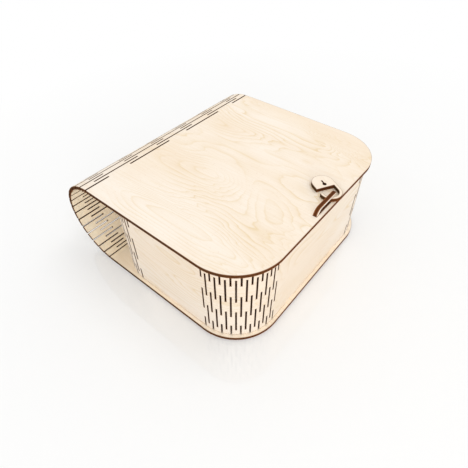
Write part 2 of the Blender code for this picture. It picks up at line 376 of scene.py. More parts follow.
# Each layer: how long and wide its spots are, the noise's detail and roughness, the part of the noise
# that is taken, and the values that this part is spread to.
VENEER_LAYERS = {
    "teeth": (0.030, 0.0065, 1.0, 0.5, MIDDLE, (-TOOTH, TOOTH)),
    "size of teeth": (0.080, 0.050, 0.0, 0.5, MIDDLE, (0.1, 1.2)),
    "ring strength": (0.075, 0.040, 2.0, 0.5, MIDDLE, (0.05, 0.60)),
    "clouding": (0.120, 0.060, 3.0, 0.5, MIDDLE, (0.0, 1.0)),
    "fibre": (0.040, 0.0013, 2.5, 0.62, MIDDLE, (0.50, 0.62)),
    "fleck": (0.0022, 0.00045, 0.0, 0.5, (0.78, 0.88), (0.0, 0.25)),
}


def veneer_layers(tree, place):
    """Draws the layers: each one's bare noise, and the same noise spread to its values."""
    noise, spread = {}, {}
    for title, (along, across, detail, roughness, taken, given) in VENEER_LAYERS.items():
        scale = (1 / along, 1 / across, 0)
        at = add(tree, "VectorMath", {0: place, 1: scale}, operation="MULTIPLY").outputs[0]
        spots = {"Vector": at, "Scale": 1.0, "Detail": detail, "Roughness": roughness}
        noise[title] = add(tree, "TexNoise", spots, noise_dimensions="2D").outputs[0]
        ranges = {"From Min": taken[0], "From Max": taken[1], "To Min": given[0], "To Max": given[1]}
        spread[title] = add(tree, "MapRange", {"Value": noise[title], **ranges}).outputs[0]
    return noise, spread


for title, (along, across, *_) in VENEER_LAYERS.items():
    print(f"{title}: spots of {along * 1000:.1f} by {across * 1000:.2f} mm")

# %% [markdown]
# The place is pushed along the grain before the land is read there, so the rings get their teeth and
# the land itself stays smooth. The ramp gives a ring its soft and its sharp side.

# %% Year rings
FIGURE_ALONG = 0.140
FIGURE_ACROSS = 0.058
RINGS = 25.0
RING_SHADE = ((0.0, 0.12), (0.12, 0.0), (0.50, 0.12), (0.78, 0.38), (0.92, 1.0), (1.0, 0.12))


def year_rings(tree, place, spread):
    """How dark the figure is: the height lines of a soft land, toothed along the grain."""
    sized = {0: spread["teeth"], 1: spread["size of teeth"]}
    teeth = add(tree, "Math", sized, operation="MULTIPLY").outputs[0]
    pushed = add(tree, "CombineXYZ", {0: teeth}).outputs[0]
    jagged = add(tree, "VectorMath", {0: place, 1: pushed}, operation="ADD").outputs[0]
    scale = (1 / FIGURE_ALONG, 1 / FIGURE_ACROSS, 0)
    at = add(tree, "VectorMath", {0: jagged, 1: scale}, operation="MULTIPLY").outputs[0]
    spots = {"Vector": at, "Scale": 1.0, "Detail": 1.0, "Roughness": 0.36, "Distortion": 0.25}
    land = add(tree, "TexNoise", spots, noise_dimensions="2D").outputs[0]
    rising = add(tree, "Math", {0: land, 1: RINGS}, operation="MULTIPLY").outputs[0]
    ring = add(tree, "Math", {0: rising}, operation="FRACT").outputs[0]
    stops = [(point, (dark, dark, dark, 1)) for point, dark in RING_SHADE]
    figure = add(tree, "ValToRGB", {"Fac": ring}, stops).outputs[0]
    return add(tree, "Math", {0: figure, 1: spread["ring strength"]}, operation="MULTIPLY").outputs[0]


print(f"land: spots of {FIGURE_ALONG * 1000:.0f} by {FIGURE_ACROSS * 1000:.0f} mm, {RINGS:.0f} rings high")

# %% [markdown]
# All of it comes together in one material. The ground is clouded, the rings tan it, the streaks dim it,
# blue more than red, and the flecks lie on top. The scorch at the cuts goes over all that, with painted
# shade added at the rims of narrow slots.

# %% The face of the plywood
FIBRE_SHADES = ((0.985, 1.01), (0.968, 1.015), (0.945, 1.02))
HALO_CURVE = 1.4
HALO_STRENGTH = 0.92


def birch_veneer(name, pale, warm, tan, shift):
    """Rotary-cut birch, sanded: matt, nearly white, with a faint figure that runs along the sheet."""
    material, tree, shader = start_material(name)
    flat = add(tree, "UVMap", {}, uv_map="flat").outputs[0]
    moved = add(tree, "VectorMath", {0: flat, 1: (*shift, 0)}, operation="ADD").outputs[0]
    noise, spread = veneer_layers(tree, moved)
    drawn = year_rings(tree, moved, spread)
    ground = {0: spread["clouding"], 6: linear(pale), 7: linear(warm)}
    clouded = add(tree, "Mix", ground, data_type="RGBA").outputs[2]
    figured = add(tree, "Mix", {0: drawn, 6: clouded, 7: linear(tan)}, data_type="RGBA").outputs[2]
    shades = {}
    for channel, (low, high) in enumerate(FIBRE_SHADES):
        ranges = {"From Min": MIDDLE[0], "From Max": MIDDLE[1], "To Min": low, "To Max": high}
        shades[channel] = add(tree, "MapRange", {"Value": noise["fibre"], **ranges}).outputs[0]
    shade = add(tree, "CombineXYZ", shades).outputs[0]
    streaked = add(tree, "VectorMath", {0: figured, 1: shade}, operation="MULTIPLY").outputs[0]
    brown = {0: spread["fleck"], 6: streaked, 7: linear("#C99B66")}
    flecked = add(tree, "Mix", brown, data_type="RGBA").outputs[2]
    # The scorch at the rims, with painted shade added at narrow slots.
    burnt = add(tree, "Attribute", {}, attribute_name="scorch_and_slot_shade").outputs["Fac"]
    haze = add(tree, "Math", {0: burnt, 1: HALO_CURVE}, operation="POWER").outputs[0]
    halo = add(tree, "Math", {0: haze, 1: HALO_STRENGTH}, operation="MULTIPLY").outputs[0]
    browned = add(tree, "Mix", {0: halo, 6: flecked, 7: linear("#6E4324")}, data_type="RGBA").outputs[2]
    tree.links.new(browned, shader.inputs["Base Color"])
    tree.links.new(spread["fibre"], shader.inputs["Roughness"])
    lifted = {"Height": noise["fibre"], "Strength": 0.25, "Distance": 0.0001}
    tree.links.new(add(tree, "Bump", lifted).outputs[0], shader.inputs["Normal"])
    shader.inputs["IOR"].default_value = 1.45
    shader.inputs["Specular IOR Level"].default_value = 0.3
    return material


print("red, green and blue of a streak:", FIBRE_SHADES)

# %% [markdown]
# Each sheet is another part of the log, so its figure is shifted by metres of its own, and it has a cast
# of its own. The veneer that faces inwards is painted lighter and yellower than the outer one, as painted
# light for the dimmer inside of the box, and the inside of the spine is painted lighter still.

# %% The five veneers
sheet_face = birch_veneer("birch veneer, wrap sheet", "#F6EBDD", "#F2E2CD", "#E0C48E", (0.0, 0.0))
wall_face = birch_veneer("birch veneer, wall strip", "#F2E6D8", "#F0E0CD", "#DDC28F", (0.63, 0.21))
hook_face = birch_veneer("birch veneer, hook", "#F5E8D8", "#F3E4D0", "#E5CFAE", (1.37, 0.48))
inside_shift = (2.11, 0.87)
# The inside faces: a lighter copy of the veneer, painted light for the dim inside of the box.
inside_face_painted_lighter = birch_veneer("birch veneer, inside", "#FCEEDA", "#FAEAD1", "#EDD5AF", inside_shift)
# Lighter still: painted light for the shaded inside of the curl.
spine_inside_painted_lighter = birch_veneer("birch veneer, inside the spine, painted lighter", "#FFF3DC", "#FFEFD4", "#F4DDB4", inside_shift)
print("veneers:", [face.name for face in (sheet_face, wall_face, hook_face, inside_face_painted_lighter, spine_inside_painted_lighter)])

# %% [markdown]
# ## The laser's edge
#
# A laser burns its way through, so every cut wall is charred reddish brown. Three plies show in it,
# and the glue lines between them are darkest. The second UV coordinate is the depth here, so a ramp
# along it is the stack of plies. A noise lets the plies wander by a twentieth of the sheet, so that
# they don't look ruled. The beam pulses as it moves, and leaves fine ridges of about 0.25 mm across
# the edge.
# The middle ply lies crosswise. Where a cut runs with the face grain, that ply shows its end grain, and
# the edge chars darker and less red. The attribute lengthwise says where, and each piece has its own share
# of it: all on the hook, half on the wrap sheet, none on the wall. The walls of a narrow slot are nearly
# black and have a material of their own: laser char, and painted shade for the deep, narrow gap.

# %% The charred edge of the plywood
END_TINT = "#C2ECFF"
PLY_PLACES = (0.0, 0.10, 0.26, 0.32, 0.38, 0.44, 0.56, 0.62, 0.68, 0.74, 0.90, 1.0)
PLY_WANDER = 0.05
WANDER_ALONG = 0.00625
RIDGE_PITCH = 0.00025
RIDGE_DEPTH = 1 / 60


def charred_edge(name, rim, ply, cross_ply, glue, end_share):
    """Laser-charred birch plywood, seen from the side: three brown plies and two dark glue lines."""
    material, tree, shader = start_material(name)
    flat = add(tree, "UVMap", {}, uv_map="flat").outputs[0]
    through = add(tree, "SeparateXYZ", {0: flat}).outputs[1]
    at = add(tree, "VectorMath", {0: flat, 1: (1 / WANDER_ALONG, 0, 0)}, operation="MULTIPLY").outputs[0]
    wander = add(tree, "TexNoise", {"Vector": at, "Scale": 1.0, "Detail": 2.0}).outputs[0]
    ranges = {"From Min": 0.3, "From Max": 0.7, "To Min": -PLY_WANDER, "To Max": PLY_WANDER}
    offset = add(tree, "MapRange", {"Value": wander, **ranges}).outputs[0]
    depth = add(tree, "Math", {0: through, 1: 1 / SHEET, 2: offset}, operation="MULTIPLY_ADD").outputs[0]
    colours = (rim, ply, ply, glue, glue, cross_ply, cross_ply, glue, glue, ply, ply, rim)
    stops = [(place, linear(colour)) for place, colour in zip(PLY_PLACES, colours)]
    plies = add(tree, "ValToRGB", {"Fac": depth}, stops).outputs[0]

    scale = (1 / RIDGE_PITCH, 1 / RIDGE_DEPTH, 0)
    at = add(tree, "VectorMath", {0: flat, 1: scale}, operation="MULTIPLY").outputs[0]
    pulses = {"Vector": at, "Scale": 1.0, "Detail": 1.0, "Roughness": 0.6}
    ridge = add(tree, "TexNoise", pulses, noise_dimensions="2D").outputs[0]
    ranges = {"From Min": 0.3, "From Max": 0.7, "To Min": 0.72, "To Max": 1.22}
    soot = add(tree, "MapRange", {"Value": ridge, **ranges}).outputs[0]
    lengthwise = add(tree, "Attribute", {}, attribute_name="lengthwise").outputs["Fac"]
    ended = add(tree, "Math", {0: lengthwise, 1: end_share}, operation="MULTIPLY").outputs[0]
    tinted = {0: ended, 6: plies, 7: linear(END_TINT)}
    burnt = add(tree, "Mix", tinted, data_type="RGBA", blend_type="MULTIPLY").outputs[2]
    sooty = add(tree, "VectorMath", {0: burnt, "Scale": soot}, operation="SCALE").outputs[0]
    tree.links.new(sooty, shader.inputs["Base Color"])
    raised = add(tree, "Bump", {"Height": ridge, "Strength": 0.5, "Distance": 0.00006}).outputs[0]
    tree.links.new(raised, shader.inputs["Normal"])
    shader.inputs["Roughness"].default_value = 0.85
    shader.inputs["IOR"].default_value = 1.45
    shader.inputs["Specular IOR Level"].default_value = 0.08
    return material


# Colours of the rim, the face plies, the middle ply and the glue lines.
browns = ("#90582F", "#7C4824", "#653A1D", "#3E2111")
sheet_edge = charred_edge("laser-charred edge, wrap sheet", *browns, 0.5)
wall_edge = charred_edge("laser-charred edge, wall strip", *browns, 0.0)
hook_edge = charred_edge("laser-charred edge, hook", *browns, 1.0)
# Narrow slot walls: laser char, darkened to nearly black as painted shade for the deep gap.
narrow_slot_char_and_shade = charred_edge("narrow slot walls, laser char and painted shade", "#5E3A1E", "#3A2210", "#2E1A0C", "#1E1008", 0.0)
print("edges:", [edge.name for edge in (sheet_edge, wall_edge, hook_edge, narrow_slot_char_and_shade)])

# %% [markdown]
# ## The wrap sheet: base, spine and lid
#
# The largest piece is one long sheet with four round corners. Its first flat coordinate runs from the
# fore edge of the base, over the spine, to the fore edge of the lid, and is 0 where the curl starts.
# The second runs across the box. Thirty-one rows of slots make the spine. The odd rows have half
# slots that run out at the sheet's sides, so those belong to the outline.

# %% Outline of the wrap sheet
CORNER_STEPS = 40


def row_place(number):
    """Where the middle of a row of slots lies. The rows are numbered from 1."""
    return (number - 0.5) * row_step


def row_sides(number):
    """The two long sides of a row's slots."""
    return row_place(number) - SLOT_WIDTH / 2, row_place(number) + SLOT_WIDTH / 2


def wrap_outline():
    """From the base's left side round the sheet, with the wood on the left."""
    side = -WIDTH / 2
    near, far = -panel_length + CORNER_RADIUS, curl_length + panel_length - CORNER_RADIUS
    notch = open_row[0][1]
    line = [(near, side)]
    for number in range(1, SPINE_ROWS + 1, 2):
        low, high = row_sides(number)
        line += step_out(low, high, side, notch)
    line += arc((far, side + CORNER_RADIUS), CORNER_RADIUS, -90, 0, CORNER_STEPS)
    line += arc((far, -side - CORNER_RADIUS), CORNER_RADIUS, 0, 90, CORNER_STEPS)
    for number in range(SPINE_ROWS, 0, -2):
        low, high = row_sides(number)
        line += step_out(high, low, -side, -notch)
    line += arc((near, -side - CORNER_RADIUS), CORNER_RADIUS, 90, 180, CORNER_STEPS)
    line += arc((near, side + CORNER_RADIUS), CORNER_RADIUS, 180, 270, CORNER_STEPS)[:-1]
    return line


print("outline of the wrap sheet:", len(wrap_outline()), "points")

# %% [markdown]
# The other slots are holes, and so are the six tab slots in the base, the keeper's slot in the lid
# and the hole for the hook's pin. A tab sits tight and no light shows round it, so its slot is drawn
# 0.35 mm small on every side and the tab fills it. The keeper has 0.15 mm of air in its slot.

# %% Holes of the wrap sheet
KEEPER_LEFT = 0.0146
KEEPER_RIGHT = 0.0125
KEEPER_PLAY = 0.00015
TAB_LENGTH = 0.012
TAB_SPACING = 0.070
TAB_SQUEEZE = 0.00035
LATCH_X = 0.0179
LATCH_FROM_EDGE = 0.0157
PIN_RADIUS = 0.0012
PIN_HOLE_STEPS = 24

wall_front = fore_y + RIM
wall_back = first_row_y - SPINE_HOLLOW
wall_half = WIDTH / 2 - RIM
latch_y = fore_y + LATCH_FROM_EDGE


def wrap_holes():
    """The closed slots, six tab slots in the base, and the keeper's slot and the pin hole in the lid."""
    holes = []
    for number in range(1, SPINE_ROWS + 1):
        low, high = row_sides(number)
        for start, end in slots_along(WIDTH, 3, number % 2 == 1):
            if start > -WIDTH / 2 and end < WIDTH / 2:
                holes.append(window(low, high, start, end))
    half_long, half_thick = TAB_LENGTH / 2 - TAB_SQUEEZE, SHEET / 2 - TAB_SQUEEZE
    for y in (wall_front + SHEET / 2, wall_back - SHEET / 2):
        for x in (-TAB_SPACING / 2, TAB_SPACING / 2):
            s = y - curl_y
            holes.append(window(s - half_thick, s + half_thick, x - half_long, x + half_long))
    side_s = (wall_front + wall_back) / 2 - curl_y
    for x in (-wall_half + SHEET / 2, wall_half - SHEET / 2):
        holes.append(window(side_s - half_long, side_s + half_long, x - half_thick, x + half_thick))
    keeper_s = curl_length + curl_y - wall_front - SHEET / 2
    reach = SHEET / 2 + KEEPER_PLAY
    left, right = -KEEPER_LEFT - KEEPER_PLAY, KEEPER_RIGHT + KEEPER_PLAY
    holes.append(window(keeper_s - reach, keeper_s + reach, left, right))
    pin = (curl_length + curl_y - latch_y, LATCH_X)
    last = 360 / PIN_HOLE_STEPS
    holes.append(arc(pin, PIN_RADIUS + PLAY, 360, last, PIN_HOLE_STEPS - 1))
    return holes


slat = row_step - SLOT_WIDTH
fold_places = [-row_step / 2, curl_length + row_step / 2]
for cell in range(SPINE_ROWS):
    fold_places += [row_step * cell + part for part in (0, slat / 2, row_step / 2, row_step - slat / 2)]
wrap_folds = [((s, -WIDTH), (s, WIDTH)) for s in fold_places]
wrap_cut = cut_flat(wrap_outline(), wrap_holes(), wrap_folds)
print("wrap sheet, flat:", len(wrap_cut[0]), "points,", len(wrap_cut[1]), "triangles")

# %% [markdown]
# ## Bending the sheet round the spine
#
# The sheet lies flat up to the curl, runs round half a circle and comes back as the lid. Between two
# rows the wood stays flat, and it turns only across the slots, where the bridges are. The middle of
# its thickness keeps its length, so the slots close a little inside the curl, to 0.85 mm, and open
# outside it, to 1.15 mm.

# %% The curl
bridge_radius = SLOT_WIDTH / bend
stretch = (middle_radius - bridge_radius) * math.tan(bend / 2) / (slat / 2)
print(f"a bridge bends to a radius of {bridge_radius * 1000:.1f} mm, flats stretched by {stretch:.5f}")


def on_wrap(s, x, depth):
    """Where a flat point of the wrap sheet lies: the outer face is at depth 0."""
    if s < 0:
        return x, curl_y + s, depth
    if s > curl_length:
        return x, curl_y - (s - curl_length), height - depth
    cell = min(int(s / row_step), SPINE_ROWS - 1)
    gone = s - cell * row_step
    turned = bend * min(max((gone - slat / 2) / SLOT_WIDTH, 0), 1)
    turn = cell * bend + turned
    before, after = min(gone, slat / 2) * stretch, max(gone - row_step + slat / 2, 0) * stretch
    crossed = 2 * bridge_radius * math.sin(turned / 2)
    y, z = middle_radius * math.sin(cell * bend), -middle_radius * math.cos(cell * bend)
    for length, way in ((before, cell * bend), (crossed, cell * bend + turned / 2), (after, turn)):
        y += length * math.cos(way)
        z += length * math.sin(way)
    out = SHEET / 2 - depth
    return x, curl_y + y + out * math.sin(turn), height / 2 + z - out * math.cos(turn)


# %% [markdown]
# The model can open. In the frame the spine turns at its odd rows, with pairs of slats between them.
# So the spine is made in 16 strips, each from the middle of one pair to the middle of the next. Base and
# lid are the two flat ends. The inside of the spine has the veneer painted lighter and yellower, as
# painted light for the shade inside the curl.

# %% Base, lid and the strips of the spine
borders = [-row_step / 2] + [row_place(n) for n in range(2, SPINE_ROWS, 2)] + [curl_length + row_step / 2]
sheet_materials = (sheet_face, sheet_edge, narrow_slot_char_and_shade, inside_face_painted_lighter)
# The spine's inside takes the veneer painted lighter, as painted light for the shade in the curl.
spine_materials = (sheet_face, sheet_edge, narrow_slot_char_and_shade, spine_inside_painted_lighter)
base_sheet = lift("base_sheet", wrap_cut, on_wrap, sheet_materials, lambda s, x: s < borders[0])
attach(base_sheet, "tray")
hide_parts("base_panel")
lid_sheet = lift("lid_sheet", wrap_cut, on_wrap, sheet_materials, lambda s, x: s > borders[-1])
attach(lid_sheet, "lid")
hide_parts("lid_panel")

for number, (low, high) in enumerate(zip(borders, borders[1:])):
    name = f"spine_strip_{number + 1:02d}"
    strip = lift(name, wrap_cut, on_wrap, spine_materials, lambda s, x: low < s < high)
    slats = [n for n in (2 * number, 2 * number + 1) if 1 <= n < SPINE_ROWS]
    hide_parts(*[f"spine_slat_{n:02d}" for n in slats])
    start, end = on_wrap(low, 0, SHEET / 2), on_wrap(high, 0, SHEET / 2)
    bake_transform(strip)

# %% [markdown]
# ## The wall strip
#
# The wall is a second strip, bent round four slotted corners until its ends meet at the back. They
# meet in five fingers, which hold the strip while the glue sets. Its lower edge has the six tabs, and
# its upper edge has the keeper: a post with a bar that reaches through the lid. All of that is one
# outline. The first flat coordinate starts at the middle of the back and runs round the box, and the
# second is the height over the table.
#
# Seen from above, the way round is nine legs: straight runs, and a quarter of a circle at each
# corner. The inside of the box is on the left.

# %% The way round the wall
WALL_GAP = 0.00006

wall_low, wall_high = SHEET + WALL_GAP, height - SHEET - WALL_GAP
wall_radius = CORNER_RADIUS - RIM
quarter_length = math.pi / 2 * (wall_radius - SHEET / 2)
across = 2 * (wall_half - wall_radius)
along = wall_back - wall_front - 2 * wall_radius
front_centre, back_centre = wall_front + wall_radius, wall_back - wall_radius
side_centre = wall_half - wall_radius

# Each leg: its length, then a start and direction, or a corner's centre and first angle.
legs = [
    (across / 2, (0, wall_back), (-1, 0)),
    (quarter_length, (-side_centre, back_centre), 90),
    (along, (-wall_half, back_centre), (0, -1)),
    (quarter_length, (-side_centre, front_centre), 180),
    (across, (-side_centre, wall_front), (1, 0)),
    (quarter_length, (side_centre, front_centre), 270),
    (along, (wall_half, front_centre), (0, 1)),
    (quarter_length, (side_centre, back_centre), 0),
    (across / 2, (side_centre, wall_back), (-1, 0)),
]
wall_length = sum(leg[0] for leg in legs)
leg_starts = [sum(leg[0] for leg in legs[:number]) for number in range(len(legs))]
print(f"the strip is {wall_length * 1000:.1f} mm long")


def on_wall(p, z, depth):
    """Where a flat point of the wall strip stands: the outer face is at depth 0."""
    p %= wall_length
    number = max(n for n in range(len(legs)) if leg_starts[n] <= p)
    _, spot, course = legs[number]
    gone = p - leg_starts[number]
    if isinstance(course, tuple):
        dx, dy = course
        return spot[0] + dx * gone - dy * depth, spot[1] + dy * gone + dx * depth, z
    turn = math.radians(course) + gone / (wall_radius - SHEET / 2)
    radius = wall_radius - depth
    return spot[0] + radius * math.cos(turn), spot[1] + radius * math.sin(turn), z


# %% [markdown]
# The slots of a corner stand upright in 17 columns. Every second column is open: it has half slots
# that run out at the strip's edges.
#
# The outline is gathered from its features. Along the lower edge these are half slots that run up
# into the strip and tabs that hang down from it, and along the upper edge half slots and the keeper.
# Sorted by their place along the strip, they give the whole edge in one pass. Under the keeper's bar
# a sill fills the lid's slot, and ends 0.25 mm below the lid's top.

# %% The two long edges of the wall strip
COLUMNS = 17
KEEPER_POST = 0.0036
KEEPER_BAR = 0.0020
KEEPER_INNER_STEPS = 14
KEEPER_OUTER_STEPS = 18
SILL_BELOW_TOP = 0.00025

column_step = quarter_length / (COLUMNS - 1)
corner_starts = [leg_starts[number] for number in (1, 3, 5, 7)]
front_start = leg_starts[4] + across / 2
half_slot = SLOT_WIDTH / 2
columns = [(start + column_step * n, n % 2 == 0) for start in corner_starts for n in range(COLUMNS)]
slots_low, slots_high = SHEET + PLAY, height - SHEET - PLAY
slot_height = slots_high - slots_low
slot_middle = (slots_low + slots_high) / 2
open_column = slots_along(slot_height, 2, True)


def keeper_line():
    """The keeper as it is met on the upper edge, from its right root to its left."""
    left = front_start - KEEPER_LEFT
    right = front_start + KEEPER_RIGHT
    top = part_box("wall_band")[1].z
    under = top - KEEPER_BAR
    outer, inner = top - height, under - height
    sill = height - SILL_BELOW_TOP
    line = [(right, wall_high), (right, sill), (left + KEEPER_POST, sill)]
    line += arc((left + KEEPER_POST + inner, height), inner, 180, 90, KEEPER_INNER_STEPS)
    line += [(right, under), (right, top)]
    line += arc((left + outer, height), outer, 90, 180, KEEPER_OUTER_STEPS)
    return line + [(left, wall_high)]


def lower_edge():
    """The lower edge from the start of the strip to its end, with half slots and tabs."""
    reach = slot_middle + open_column[0][1]
    bits = [step_out(p - half_slot, p + half_slot, wall_low, reach) for p, is_open in columns if is_open]
    half_tab = TAB_LENGTH / 2
    tabs = [front_start - TAB_SPACING / 2, front_start + TAB_SPACING / 2]
    tabs += [TAB_SPACING / 2, wall_length - TAB_SPACING / 2]
    tabs += [leg_starts[2] + along / 2, leg_starts[6] + along / 2]
    bits += [step_out(p - half_tab, p + half_tab, wall_low, PLAY) for p in tabs]
    return [point for bit in sorted(bits) for point in bit]


def upper_edge():
    """The upper edge from the end of the strip back to its start, with half slots and the keeper."""
    reach = slot_middle + open_column[-1][0]
    bits = [step_out(p + half_slot, p - half_slot, wall_high, reach) for p, is_open in columns if is_open]
    bits.append(keeper_line())
    return [point for bit in sorted(bits, key=lambda b: -b[0][0]) for point in bit]


print("the wall's edges:", len(lower_edge()), "and", len(upper_edge()), "points")

# %% [markdown]
# The seam's fingers reach 4 mm past the middle of the back, in turns from either end, and the laser
# took 0.16 mm of wood between them. So the two ends are one line, moved apart by that kerf.

# %% Cut the wall strip and bend it
SEAM_FINGERS = 5
SEAM_REACH = 0.004
SEAM_KERF = 0.00016


def seam_end(side):
    """One end of the strip from bottom to top: side is 1 for the start of the strip, -1 for its end."""
    finger = (wall_high - wall_low) / SEAM_FINGERS
    line = []
    for step in range(SEAM_FINGERS):
        way = 1 if step % 2 == 0 else -1
        reach = SEAM_REACH * way + side * SEAM_KERF / 2
        shift = SEAM_KERF / 2 * side * way
        low = wall_low if step == 0 else wall_low + finger * step - shift
        high = wall_high if step == SEAM_FINGERS - 1 else wall_low + finger * (step + 1) + shift
        line += [(reach, low), (reach, high)]
    return line


start_line = seam_end(1)
end_line = [(wall_length + p, z) for p, z in seam_end(-1)]
wall_outline = lower_edge() + end_line + upper_edge() + start_line[::-1]
wall_holes = []
for p, is_open in columns:
    for start, end in slots_along(slot_height, 2, is_open):
        if not is_open or (start > -slot_height / 2 and end < slot_height / 2):
            wall_holes.append(window(p - half_slot, p + half_slot, slot_middle + start, slot_middle + end))
wall_folds = []
for start in corner_starts:
    for half_column in range(2 * COLUMNS - 1):
        p = start + column_step * half_column / 2
        wall_folds.append(((p, -SHEET), (p, height + SHEET)))
wall_cut = cut_flat(wall_outline, wall_holes, wall_folds)
wall_strip = lift("wall_strip", wall_cut, on_wall, (wall_face, wall_edge, narrow_slot_char_and_shade, inside_face_painted_lighter))
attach(wall_strip, "tray")
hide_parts("wall_band")

# %% [markdown]
# ## The hook and its pivot
#
# The hook is a small oblong with a throat cut into its side, so that its jaw can swing under the
# keeper's bar. It turns on a dowel in its eye. A short slit beside the eye lets the wood give a
# little. Its flat lines are drawn about the pivot, with the eye's end at the right, and then leaned
# over to where the photographed hook points.

# %% Cut the hook
LATCH_LEAN = 60
LATCH_RADIUS = 0.0087
LATCH_SPAN = 0.0114
EYE_FROM_END = 0.0022
THROAT_FROM_EYE = 0.00345
LATCH_ARM = 0.0023
LATCH_CLAW = 0.0019
CLAW_END = -273
SLIT_WIDTH = 0.0009
SLIT_REACH = 0.0045
LATCH_STEPS = 40
EYE_STEPS = 22

latch_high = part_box("latch_hook")[1].z
jaw_u = EYE_FROM_END - LATCH_SPAN
lean = Matrix.Rotation(math.radians(LATCH_LEAN), 2)


def hook_outline():
    """Round the eye's end, round the jaw, back along the throat, anticlockwise."""
    inner_radius = LATCH_RADIUS - (LATCH_ARM + LATCH_CLAW) / 2
    inner_v = (LATCH_ARM - LATCH_CLAW) / 2
    line = [(-THROAT_FROM_EYE, LATCH_RADIUS), (-THROAT_FROM_EYE, LATCH_ARM - LATCH_RADIUS)]
    line += arc((jaw_u, inner_v), inner_radius, -90, CLAW_END, LATCH_STEPS)
    line += arc((jaw_u, 0), LATCH_RADIUS, CLAW_END, -90, LATCH_STEPS)
    return line + arc((EYE_FROM_END, 0), LATCH_RADIUS, -90, 90, LATCH_STEPS)


def keyhole():
    """The round eye with its slit, clockwise."""
    radius = PIN_RADIUS + PLAY
    corner = math.degrees(math.asin(SLIT_WIDTH / 2 / radius))
    eye = arc((0, 0), radius, 360 - corner, corner, EYE_STEPS)
    return [(SLIT_REACH, -SLIT_WIDTH / 2)] + eye + [(SLIT_REACH, SLIT_WIDTH / 2)]


def on_lid_top(u, v, depth):
    """Where a flat point of the hook lies: the outer face is at depth 0."""
    x, y = lean @ Vector((u, v))
    return LATCH_X + x, latch_y + y, latch_high - depth


hook_cut = cut_flat(hook_outline(), [keyhole()], [])
hook = lift("hook", hook_cut, on_lid_top, (hook_face, hook_edge, narrow_slot_char_and_shade, inside_face_painted_lighter))
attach(hook, "latch")
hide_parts("latch_hook")

# %% [markdown]
# The pivot is a turned dowel of 2.4 mm, pushed through the eye and glued in the lid. A lathe shape would
# do with one profile, spun round. Its rim is broken by a small chamfer. Its end grain is coloured nearly
# black, as charred wood and as painted shade for the hole of the eye it sits in.

# %% The dowel's end grain, painted nearly black
PORE_SPACING = 0.0002


def dowel_end_painted_dark(name):
    """Charred end grain, nearly black and dull, which also paints the shade in the eye; pores 0.2 mm
    apart, coarser than the real ones.
    """
    material, tree, shader = start_material(name)
    place = add(tree, "TexCoord", {}).outputs["Object"]
    pores = add(tree, "TexVoronoi", {"Vector": place, "Scale": 1 / PORE_SPACING}).outputs["Distance"]
    stops = [(0.1, linear("#1B0F09")), (0.7, linear("#4A2C1B"))]
    tone = add(tree, "ValToRGB", {"Fac": pores}, stops).outputs[0]
    tree.links.new(tone, shader.inputs["Base Color"])
    raised = add(tree, "Bump", {"Height": pores, "Strength": 0.6, "Distance": 0.00005}).outputs[0]
    tree.links.new(raised, shader.inputs["Normal"])
    shader.inputs["Roughness"].default_value = 0.8
    shader.inputs["Specular IOR Level"].default_value = 0.2
    return material


# %% Turn the dowel
DOWEL_STEPS = 32
CHAMFER = 0.00025

dowel_low, dowel_high = (corner.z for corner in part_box("latch_pin"))
profile = [(PIN_RADIUS, dowel_low), (PIN_RADIUS, dowel_high - CHAMFER), (PIN_RADIUS - CHAMFER, dowel_high)]
points, sides = [], []
for radius, z in profile:
    for step in range(DOWEL_STEPS):
        turn = math.tau * step / DOWEL_STEPS
        points.append((LATCH_X + radius * math.cos(turn), latch_y + radius * math.sin(turn), z))
for ring in range(len(profile) - 1):
    for step in range(DOWEL_STEPS):
        ahead = (step + 1) % DOWEL_STEPS
        a, b = ring * DOWEL_STEPS, (ring + 1) * DOWEL_STEPS
        sides.append((a + step, a + ahead, b + ahead, b + step))
sides.append(tuple(range(DOWEL_STEPS))[::-1])
sides.append(tuple(2 * DOWEL_STEPS + step for step in range(DOWEL_STEPS)))
dowel_mesh = bpy.data.meshes.new("dowel")
dowel_mesh.from_pydata(points, [], sides)
dowel_mesh.materials.append(dowel_end_painted_dark("dowel end, charred and painted dark as the eye's shade"))
dowel_mesh.shade_smooth()
dowel_mesh.set_sharp_from_angle(angle=math.radians(30))
dowel = put_in_scene("dowel", dowel_mesh)
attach(dowel, "lid")
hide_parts("latch_pin")
print(f"dowel: {len(sides)} faces, {(dowel_high - dowel_low) * 1000:.2f} mm long")

# %% [markdown]
# ## The table
#
# The box stands on a polished white studio table, a large disc that mirrors it faintly. A share of
# the table's white is given to the camera's rays alone. It grows with the distance from a spot under
# the front of the box, so the table fades to a clean white without more light on the wood, and the
# rest takes the soft shadow round the base. Close behind the spine none of the white is added, so the
# slots that let the eye through don't light up.

# %% Table
TABLE_RADIUS = 3.0
TABLE_STEPS = 96
TABLE_PLACE = (0.04, -0.07, -0.00005)
NEAR, FAR = 0.14, 0.5
NEAR_SHARE = 0.16
SHADED_PLACE = (0, 0.115, 0)
SHADED_ACROSS = 0.11
SHADED_ALONG = 0.06
SHADED_CORE = 0.6

